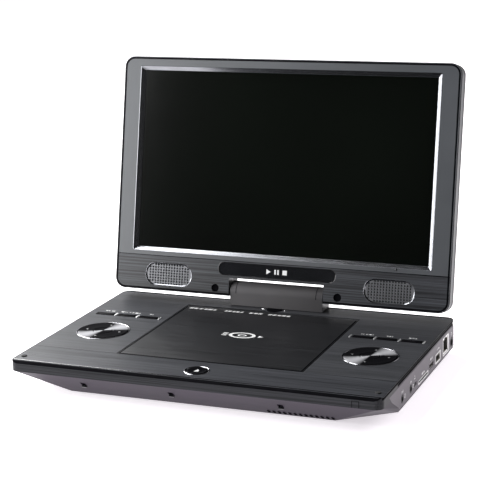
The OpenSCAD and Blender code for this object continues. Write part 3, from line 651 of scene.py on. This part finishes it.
def screen_pieces():
    # the polished slope between the front face and the glass
    surround = skin([level(rounded(GLASS_W + more_w, GLASS_H + more_h, radius, (0, GLASS_MID + up)), z)
                     for more_w, more_h, radius, up, z in (
                         (7.4, 6.6, 1.6, 0.1, -0.5), (7.4, 6.6, 1.6, 0.1, 0.05), (6.9, 6.1, 1.4, 0.1, 0.1),
                         (6.3, 5.5, 1.2, 0.1, -0.2), (0.2, 0.2, 0.5, 0, -2.75), (0.2, 0.2, 0.5, 0, -2.95))],
                    ring=True)
    make("glass_surround", surround, SCREEN, "screen", "surround_gloss")

    # speaker grilles: a pierced plate and a rounded rim round it
    shapes, rims = [], []
    pitch, row_pitch, columns, rows, hole_r = 2.5, 2.5 * 0.92, 17, 8, 0.88
    straight, field_r = 11.5, 8.5    # the pierced field: half its straight length, and its end radius
    rim_section = ((0.2, -1.2), (0.2, 0.02), (0.1, 0.07), (-0.05, 0.02), (-1.05, -0.7), (-1.15, -0.8),
                   (-1.15, -1.2))
    for side in (-1, 1):
        at = (side * GRILLE_X, GRILLE_Y)
        holes = []
        for col in range(columns):
            for row in range(rows):
                dx, dy = (col - (columns - 1) / 2) * pitch, (row - (rows - 1) / 2) * row_pitch
                if max(abs(dx) - straight, 0) ** 2 + dy ** 2 < field_r ** 2:
                    holes.append(circle(hole_r, (at[0] + dx, at[1] + dy), 12))
        plate = rounded(GRILLE_W - 0.1, GRILLE_H - 0.1, 9.3, at, 10)
        shapes.append(pierced([plate] + holes, -2.3, -0.75))
        rims.append(skin([level(rounded(GRILLE_W + 2 * g, GRILLE_H + 2 * g, 9.35 + g, at, 10), z)
                          for g, z in rim_section], ring=True))
    make("speaker_mesh", merge(shapes), SCREEN, "screen", "strip_metal", ("speaker_grilles",))
    make("speaker_rims", merge(rims), SCREEN, "screen", "surround_gloss", crease=60)

    # the plate under the glass: a glossy rim and plain transport marks
    rim = skin([level(rounded(w, h, h / 2 - 0.1, (0, PLATE_Y), 10), z) for w, h, z in (
        (104.5, 11.4, -0.6), (104.5, 11.4, 0.02), (104.2, 11.1, 0.08), (103.7, 10.6, 0.0),
        (103.2, 10.1, -0.35), (103.2, 10.1, -0.6))], ring=True)
    make("plate_rim", rim, SCREEN, "screen", "rim_black", crease=60)
    marks = ink([wedge(-7.6, PLATE_Y, 2.5), bar(-1.1, PLATE_Y, 1.4, 4.0), bar(1.5, PLATE_Y, 1.4, 4.0),
                 bar(7.4, PLATE_Y, 3.9, 3.9)], -0.42, -0.3)
    make("plate_marks", marks, SCREEN, "screen", "white_print")

    # remote receiver lens
    lens = turned([(1.05, -0.6), (1.05, 0.02), (0.85, 0.2), (0.4, 0.32), (0.02, 0.35)],
                  (102.7, 32.4), steps=24)
    make("receiver_lens", lens, SCREEN, "screen", "gloss_black")

    # screw plugs: shallow dished caps
    dish = [(3.3, -1.0), (3.3, 0.02), (3.1, 0.1), (2.8, 0.0), (2.5, -0.5), (1.2, -0.75), (0.02, -0.8)]
    plugs = [turned(dish, (side * PLUG_X, PLUG_Y), steps=40) for side in (-1, 1)]
    make("plug_caps", merge(plugs), SCREEN, "screen", "plug_black", ("screw_plugs",))

    # the dark rounded edge round the front, from one end of the hinge notch to the other
    width, height = 295.5, 199.2
    outline = rounded(width, height, 9, (0, height / 2), 10)
    outline.sort(key=lambda p: atan2(p[0], height / 2 - p[1]) % (2 * pi))
    outline = [(NOTCH_X, 0)] + outline + [(-NOTCH_X, 0)]
    edge = [(-2.1, -0.6), (-2.1, 0.02), (-1.8, 0.1), (-0.7, 0.04), (0.04, -0.5), (0.14, -1.2), (0.14, -2.2),
            (-0.6, -2.2)]
    make("front_outline", sweep(outline, edge), SCREEN, "screen", "edge_black",
         crease=60)

    # a black line over the seam above the brushed strip: painted shade standing in for the dark of the gap
    seam = crowned(292.4, 0.55, 0.2, [(0, -0.5), (0, 0.02), (0.1, 0.05)], (0, SEAM_Y))
    make("strip_seam_shade", seam, SCREEN, "screen", "edge_black")


# ---------------------------------------------------------------- the deck's controls

def deck_pieces():
    # direction pads: a ring with turned circles and painted highlights, four arrows, and a key in its middle
    arrow_r = 14.4
    for side, word in ((-1, "left"), (1, "right")):
        at = DECK @ Matrix.Translation((side * PAD[0] * MM, PAD[1] * MM, 0))
        edge = PAD_TRIM_R - 1.3
        dial = turned([(edge, -1.5), (edge, 0.2), (edge - 0.2, 0.42), (edge - 0.7, 0.5), (edge - 1.6, 0.46),
                       (15.5, 0.34), (11.5, 0.34), (9.4, 0.48), (8.5, 0.5), (8.15, 0.4), (8.0, 0.1),
                       (8.0, -1.5)], ring=True)
        make(f"pad_dial_{word}", dial, at, f"pad_ring_{word}", "spun_key",
             (f"pad_ring_{word}",), crease=60)
        arrows = ink([wedge(arrow_r * cos(radians(a)), arrow_r * sin(radians(a)), 1.2, a)
                      for a in (0, 90, 180, 270)], 0.3, 0.37)
        make(f"pad_arrows_{word}", arrows, at, f"pad_ring_{word}", "grey_print")
        centre = turned([(7.6, -1.5), (7.6, 0.3), (7.4, 0.52), (7.0, 0.6), (6.6, 0.56), (6.3, 0.42),
                         (5.9, 0.4), (4.0, 0.46), (2.0, 0.5), (0.02, 0.5)])
        make(f"pad_centre_{word}", centre, at, f"pad_key_{word}", "spun_key",
             (f"pad_key_{word}",), crease=60)

    # polished rings round the pads and the lid button
    section = ((0, -0.9), (0, 0.12), (0.2, 0.34), (0.45, 0.4), (0.7, 0.3), (0.88, 0.05), (0.9, -0.9))
    rings = [turned([(PAD_TRIM_R - r, z) for r, z in section], (side * PAD[0], PAD[1]), ring=True)
             for side in (-1, 1)]
    rings.append(turned([(9.85, -0.9), (9.85, 0.1), (9.6, 0.34), (9.2, 0.42), (8.8, 0.26), (8.5, -0.1),
                         (8.45, -0.9)], BUTTON, ring=True))
    make("polished_rings", merge(rings), DECK, "root", "dark_chrome", ("trim_rings",), 60)

    # function keys: low crowned bars
    for side, word in ((-1, "left"), (1, "right")):
        for step, place in ((-1, "inner"), (0, "middle"), (1, "outer")):
            node = f"key_{word}_{place}"
            at = DECK @ Matrix.Translation((side * (PAD[0] + step * KEY_PITCH) * MM, KEY_Y * MM, 0))
            cap = crowned(KEY_L, KEY_D, KEY_CORNER, [(0, -1.5), (0, 0.15), (0.12, 0.38), (0.4, 0.54),
                                                     (1.0, 0.62), (1.9, 0.66)])
            make(f"cap_{word}_{place}", cap, at, node, "key_gloss", (node,), crease=60)

    # bright slashes between the keys
    bars = []
    for x in (-122.2, -102.4, -82.4, 82.4, 102.4, 122.2, 142.0):
        bars.append(crowned(1.3, 6.2, 0.5, [(0, -0.3), (0, 0.3), (0.15, 0.5), (0.4, 0.55)], (x, KEY_Y)))
    make("key_dividers", merge(bars), DECK, "root", "socket_metal")

    # marks above the keys, h high: those of the left keys, then those of the right
    y, h = 137.6, 1.9
    left = [wedge(-135.2, y, 1.25, 180), wedge(-133.0, y, 1.25, 180), bar(-130.2, y, 0.5, h),
            bar(-128.6, y, 2.0, 0.5), bar(-128.6, y + 0.8, 2.0, 0.4), bar(-128.6, y - 0.8, 2.0, 0.4),
            bar(-120.4, y, 2.6, h), bar(-117.2, y, 2.6, 0.5), bar(-113.4, y, 0.6, h),
            wedge(-110.6, y, 1.25), bar(-107.4, y, 2.8, h), bar(-104.6, y, 0.8, h),
            wedge(-94.4, y, 1.2), bar(-92.6, y, 0.5, h)]
    y = 136.4
    right = [bar(89.4, y, 0.7, h), bar(90.8, y, 0.7, h), wedge(93.6, y, 1.25), bar(96.6, y, 1.9, h),
             bar(98.6, y, 0.5, h), wedge(110.6, y, 1.25), wedge(112.6, y, 1.25), bar(114.4, y, 0.5, h),
             bar(128.6, y, 1.9, h), bar(131.2, y, 1.9, 0.5), bar(131.2, y + 0.8, 1.9, 0.4),
             wedge(133.4, y, 1.1, 90)]
    make("key_marks", ink(left + right), DECK, "root", "white_print")

    # lid: a plain disc mark in the middle, between a wedge and three bars
    squash, y = 0.62, LID_MARK[1]
    disc = merge([ink_ring(11.2, 8.4, LID_MARK, squash), ink_ring(3.8, 2.4, LID_MARK, squash),
                  ink([wedge(15.2, y, 2.8)] + [bar(-14.6, y + up, 4.2, 1.4) for up in (0, 2.7, -2.7)])])
    make("lid_disc_mark", disc, DECK, "lid", "white_print")

    # lid: a row of plain slanted bars near the hinge, by their middle and width
    row, y, half_h, slant = [], 164.6, 1.5, 0.8
    for x, w in ((-69.6, 3.4), (-65.6, 3.0), (-60.9, 2.4), (-56.6, 2.6), (-52.6, 4.0), (-48.4, 2.2),
                 (-38.2, 2.0), (-35.0, 2.8), (-31.2, 2.2), (-27.8, 2.8), (-24.2, 2.0), (-15.8, 3.2),
                 (-11.8, 2.8), (-7.8, 3.4), (1.0, 2.8), (4.8, 3.2), (9.0, 2.8), (13.0, 3.4), (17.0, 2.6)):
        row.append([(x - w / 2, y - half_h), (x + w / 2, y - half_h), (x + w / 2 + slant, y + half_h),
                    (x - w / 2 + slant, y + half_h)])
    make("lid_row_marks", ink(row), DECK, "lid", "white_print")

    # lid button: a dished cap with a plain open mark
    at = DECK @ Matrix.Translation((BUTTON[0] * MM, BUTTON[1] * MM, 0))
    cap = turned([(8.1, -1.5), (8.1, 0.05), (7.8, 0.3), (7.2, 0.34), (6.4, 0.2), (4.4, 0.02),
                  (2.2, -0.06), (0.02, -0.08)])
    make("lid_button_cap", cap, at, "lid_button", "key_gloss", ("lid_button",), crease=60)
    make("lid_button_mark", ink([wedge(0, 0.9, 1.9, 90), bar(0, -1.5, 3.4, 0.8)], -0.07, 0.06),
         at, "lid_button", "white_print")


# ---------------------------------------------------------------- the right side's sockets

def side_pieces():
    # rings round the two jacks and the power inlet, and the inlet's pin
    rings, liners, contacts = [], [], []
    for x, y, outer, inner in ((47.8, -17, 3.05, 1.9), (70, -17, 3.05, 1.9), (*INLET, 3.85, 2.85)):
        rings.append(turned([(outer, -0.9), (outer, 0.05), (outer - 0.25, 0.2), (inner + 0.2, 0.18),
                             (inner, 0.0), (inner, -0.9)], (x, y), ring=True, steps=48))
    make("jack_rings", merge(rings), SIDE, "root", "black_plastic", crease=60)
    pin = turned([(0.75, -6.0), (0.75, -1.6), (0.55, -1.1), (0.02, -1.0)], INLET, steps=24)
    make("inlet_pin", pin, SIDE, "root", "jack_shell")

    # bright frames in the mouths of the card slot, the USB socket and the network socket
    for low, high in (((90.6, -20.7), (117.4, -18.1)), ((139.5, -20.4), (154, -13.2)),
                      ((162, -21.1), (178.5, -7.1))):
        w, h = high[0] - low[0], high[1] - low[1]
        at = ((low[0] + high[0]) / 2, (low[1] + high[1]) / 2)
        liners.append(skin([level(rounded(w + 2 * g, h + 2 * g, 0.35 + max(g, 0), at, 3), z) for g, z in (
            (0.35, -0.6), (0.35, 0.06), (0.2, 0.16), (-0.3, 0.14), (-0.5, -0.02), (-0.5, -0.6))],
            ring=True))
    make("socket_frames", merge(liners), SIDE, "root", "socket_metal")

    # USB tongue and its contacts, and the network socket's contacts
    tongue = crowned(11.4, 1.9, 0.2, [(0, -13.0), (0, -1.9), (0.2, -1.5)], (146.75, -15.4))
    make("usb_tongue", tongue, SIDE, "root", "white_plastic")
    for i in range(4):
        contacts.append(placed(prism(bar(0, 0, 1.1, 0.14), -11.0, -2.1), 142.6 + i * 2.75, -16.4))
    for i in range(8):
        contacts.append(placed(prism(bar(0, 0, 0.45, 0.5), -9.0, -2.4), 166.6 + i * 1.05, -10.2))
    make("socket_contacts", merge(contacts), SIDE, "root", "gold_contact")

    # marks above the sockets
    y = -11.6
    marks = [bar(46.4, y, 0.7, 2.0), bar(48.0, y, 0.7, 1.3), bar(49.6, y, 0.7, 2.0),
             wedge(70.6, y, 1.3), bar(68.6, y, 0.6, 2.0),
             bar(80.6, -12.4, 3.0, 0.7), wedge(80.6, -10.6, 1.0, 90),
             bar(101.5, -15.3, 3.4, 1.8), bar(105.1, -15.3, 1.6, 1.8), bar(107.6, -15.6, 1.2, 1.2),
             bar(125.6, -11.7, 3.2, 1.7), bar(129.4, -11.7, 1.4, 1.7),
             wedge(149.8, -10.2, 1.2), bar(146.0, -10.2, 5.4, 0.5), bar(147.0, -9.4, 1.6, 0.5),
             bar(188.5, -9.4, 3.6, 0.6), bar(187.4, -10.8, 1.3, 0.6), bar(189.6, -10.8, 1.3, 0.6)]
    make("socket_marks", ink(marks, -0.12, 0.04), SIDE, "root", "white_print")
    rounds = [ink_ring(outer, inner, (x, -16.8), high=0.04, steps=24)
              for outer, inner, x in ((1.7, 1.2, 54.2), (1.5, 0.9, 76.0))]
    make("jack_marks", merge(rounds), SIDE, "root", "white_print")


# ---------------------------------------------------------------- the front lip and the hinge

def front_pieces():
    # the glossy black slope along the front edge, narrowing into the round corners
    count, half, bulge, drop = 120, 147.0, 2.6, 2.2
    corner, corner_y = DECK_HALF - DECK_CORNER, 3.4    # middle of the round corner
    sections = []
    for i in range(count + 1):
        x = -half + 2 * half * i / count
        past_corner = max(abs(x) - corner, 0)
        edge_y = corner_y - sqrt(DECK_CORNER ** 2 - past_corner ** 2)
        reach = min(max(-edge_y / bulge, 0.02), 1)
        top, low = Vector((x, 0.9, 0.03)), Vector((x, -bulge * reach, -drop * reach))
        lift = Vector((0, -0.05, 0.06))
        section = (top + Vector((0, 0.1, -0.5)), top, Vector((x, 0.15, 0.04)) + lift * 0.3,
                   low * 0.5 + Vector((x, 0, 0)) * 0.5 + lift, low + lift, low + Vector((0, 0.6, -0.3)))
        sections.append([tuple(v) for v in section])
    make("front_edge", skin(sections), DECK, "root", "edge_black", crease=60)

    # a polished line where the front edge meets the deck
    half, steps = 146.2, 60
    line = sweep([(-half + 2 * half * i / steps, 1.25) for i in range(steps + 1)],
                 [(-0.3, -0.3), (-0.3, 0.06), (0, 0.14), (0.3, 0.06), (0.3, -0.3)])
    make("front_line", line, DECK, "root", "rim_black", crease=60)

    # the deck plate's black edge, along both sides and the rear, carried down over the shadow gap under it, where
    # its black is painted shade
    base, rear_points = rounded(2 * DECK_HALF, 201.6, DECK_CORNER, (0, 98.2), 8), 18
    path = [(DECK_HALF, TRIM_DEPTH + 0.6)] + base[:rear_points] + [(-DECK_HALF, TRIM_DEPTH + 0.6)]
    edge = sweep(path, [(-0.45, -3.95), (-0.45, -2.4), (0.0, -2.15), (0.05, -1.9), (0.07, -1.1),
                        (0.03, -0.25), (-0.2, -0.04), (-0.7, 0.02), (-0.9, -0.2), (-0.95, -3.95)])
    make("deck_edge_and_gap_shade", edge, DECK, "root", "edge_black", crease=60)

    # the same black edge along the front trim's sides
    band = [(-0.5, -2.1), (0.0, -2.05), (0.06, -1.6), (0.06, -1.0), (0.03, -0.25), (-0.2, -0.04),
            (-0.7, 0.02), (-0.9, -0.2), (-0.9, -2.1)]
    arc = [(corner + DECK_CORNER * cos(radians(a)), corner_y + DECK_CORNER * sin(radians(a)))
           for a in range(-30, 1, 6)]
    right = arc + [(DECK_HALF, TRIM_DEPTH)]
    left = [(-x, y) for x, y in right[::-1]]
    make("trim_edge", merge([sweep(right, band), sweep(left, band)]), DECK, "root", "edge_black",
         crease=60)

    # a dark band over the lid's rounded edge along its front and sides: painted shade that makes the seam round
    # the lid look darker and wider
    x, front, rear = 75.6, 36.35, 168.0
    path = [(-x, rear), (-x, front + 0.8), (-x + 0.24, front + 0.24), (-x + 0.8, front), (x - 0.8, front),
            (x - 0.24, front + 0.24), (x, front + 0.8), (x, rear)]
    edge = sweep(path, [(-1.9, -0.3), (-1.9, 0.02), (-0.8, 0.03), (-0.1, -0.1), (0.02, -0.4), (0.02, -1.6),
                        (-0.8, -1.6)])
    make("lid_edge", edge, DECK, "lid", "lid_edge_black", crease=60)


def hinge_pieces():
    # the barrel's smooth outer skin: upright at the front and rear, round over the top
    centre_y, centre_z, radius, low, bore = 189.4, 10.8, 8.54, 0.52, 0.86
    turns = [pi * i / 36 for i in range(37)]
    around = [(centre_y - radius, low)] + [
        (centre_y - radius * cos(a), centre_z + radius * sin(a)) for a in turns]
    around.append((centre_y + radius, low))
    inside = [(centre_y + (y - centre_y) * bore, max(centre_z + (z - centre_z) * bore, low))
              for y, z in around]
    loops = []
    for x, shrink in ((-41.05, 0.45), (-40.95, 0.12), (-40.6, 0.0), (40.6, 0.0), (40.95, 0.12),
                      (41.05, 0.45)):
        scale = (radius - shrink) / radius
        outside = [(x, centre_y + (y - centre_y) * scale,
                    centre_z + (z - centre_z) * scale if z > low else low) for y, z in around]
        loops.append(outside + [(x, y, z) for y, z in inside[::-1]])
    make("hinge_barrel", skin(loops), DECK, "swivel", "barrel_satin", crease=50)

    # a dark closing ring a little way in from each end, over the round top only
    half = [(radius * cos(a), radius * sin(a)) for a in turns]
    ends = []
    for side in (-1, 1):
        section = []
        for grow, x in ((-0.3, 35.2), (0.05, 35.25), (0.07, 35.5), (0.05, 35.75), (-0.3, 35.8)):
            k = (radius + grow) / radius
            section.append([(side * x, centre_y - c * k, centre_z + s * k) for c, s in half])
        ends.append(skin([[ring[i] for ring in section] for i in range(len(turns))]))
    make("barrel_seams", merge(ends), DECK, "swivel", "edge_black", crease=60)

    # a dark round disc on the deck in front of the barrel, and the two bright pads beside it
    front_disc = turned([(7.2, -0.2), (7.2, 0.12), (6.9, 0.34), (5.6, 0.42), (0.02, 0.44)], (0, 179.6), steps=48)
    make("barrel_front_disc", front_disc, DECK, "root", "edge_black", crease=60)
    pads = [crowned(3.0, 2.6, 0.5, [(0, -0.2), (0, 0.25), (0.3, 0.45)], (side * 9.8, 178.6))
            for side in (-1, 1)]
    make("swivel_marks", merge(pads), DECK, "root", "bright_trim")


def wall_pieces():
    # dark blocks over the vent slots of the front wall, seated on the wall's outer face
    tree = BVHTree.FromPolygons([v.co for v in NODES["bottom_shell"].data.vertices],
                                [tuple(f.vertices) for f in NODES["bottom_shell"].data.polygons])
    slot_blocks = []
    slots, first_x, slot_pitch, slot_y, slot_z, to_solid_wall = 13, 57, 4.1, 14.6, -24.6, 2.0
    slant = Matrix.Rotation(radians(-47), 4, "X") @ Matrix.Rotation(radians(-18), 4, "Z")
    for i in range(slots):
        at = DECK @ Matrix.Translation(Vector((first_x + i * slot_pitch, slot_y, slot_z)) * MM) @ slant
        beside = at @ Vector((to_solid_wall * MM, 0, 0))
        out = (at.to_3x3() @ Vector((0, 0, -1))).normalized()
        hit = tree.ray_cast(beside + out * 20 * MM, -out)[0]
        if hit is None:
            continue
        lift = (hit - beside).dot(out) / MM
        local = DECK.inverted() @ at
        box = crowned(1.6, 3.2, 0.3, [(0, -0.03), (0, 0.35)])
        seated = [tuple((local @ (Vector((x, y, -lift - z)) * MM)) / MM) for x, y, z in box[0]]
        slot_blocks.append((seated, box[1]))
    if slot_blocks:
        make("vent_slot_blocks", merge(slot_blocks), DECK, "root", "plug_black")

    # outline of the service cover across the crease, near the right front corner
    left, right = 126.0, 131.2
    lines = [bar(left, -5.8, 0.45, 5.0), bar(right, -5.8, 0.45, 5.0),
             bar((left + right) / 2, -3.3, 5.65, 0.4)]
    face = DECK @ Matrix.Translation((0, -2.6 * MM, 0)) @ Matrix.Rotation(pi / 2, 4, "X")
    make("service_outline", ink(lines, -0.02, 0.04), face, "root", "plug_black")


# ---------------------------------------------------------------- the build

bpy.context.scene.view_settings.view_transform = "Standard"
make_camera()
make_studio()
dress_frame()
# the port and socket strips take the lighter plum, whose extra lightness is painted light
for node, paint in (("bezel_strip", "bezel_strip"), ("screen_screws", "dark_steel"),
                    ("screen_cover", "cover_black"), ("front_trim", "brushed_trim"),
                    ("port_strip", "strip_plum"), ("socket_strip", "strip_plum")):
    NODES[node].data.materials[0] = MATERIALS[paint]
for node, width in (("bottom_shell", 0.6), ("top_deck", 0.45), ("front_trim", 0.7), ("disc_lid", 0.35),
                    ("port_strip", 0.2), ("socket_strip", 0.2), ("hinge_cover", 0.3), ("screen_cover", 0.6),
                    ("screen_bezel", 0.7), ("bezel_strip", 0.4)):
    soften(NODES[node], width * MM)
screen_pieces()
deck_pieces()
side_pieces()
front_pieces()
hinge_pieces()
wall_pieces()
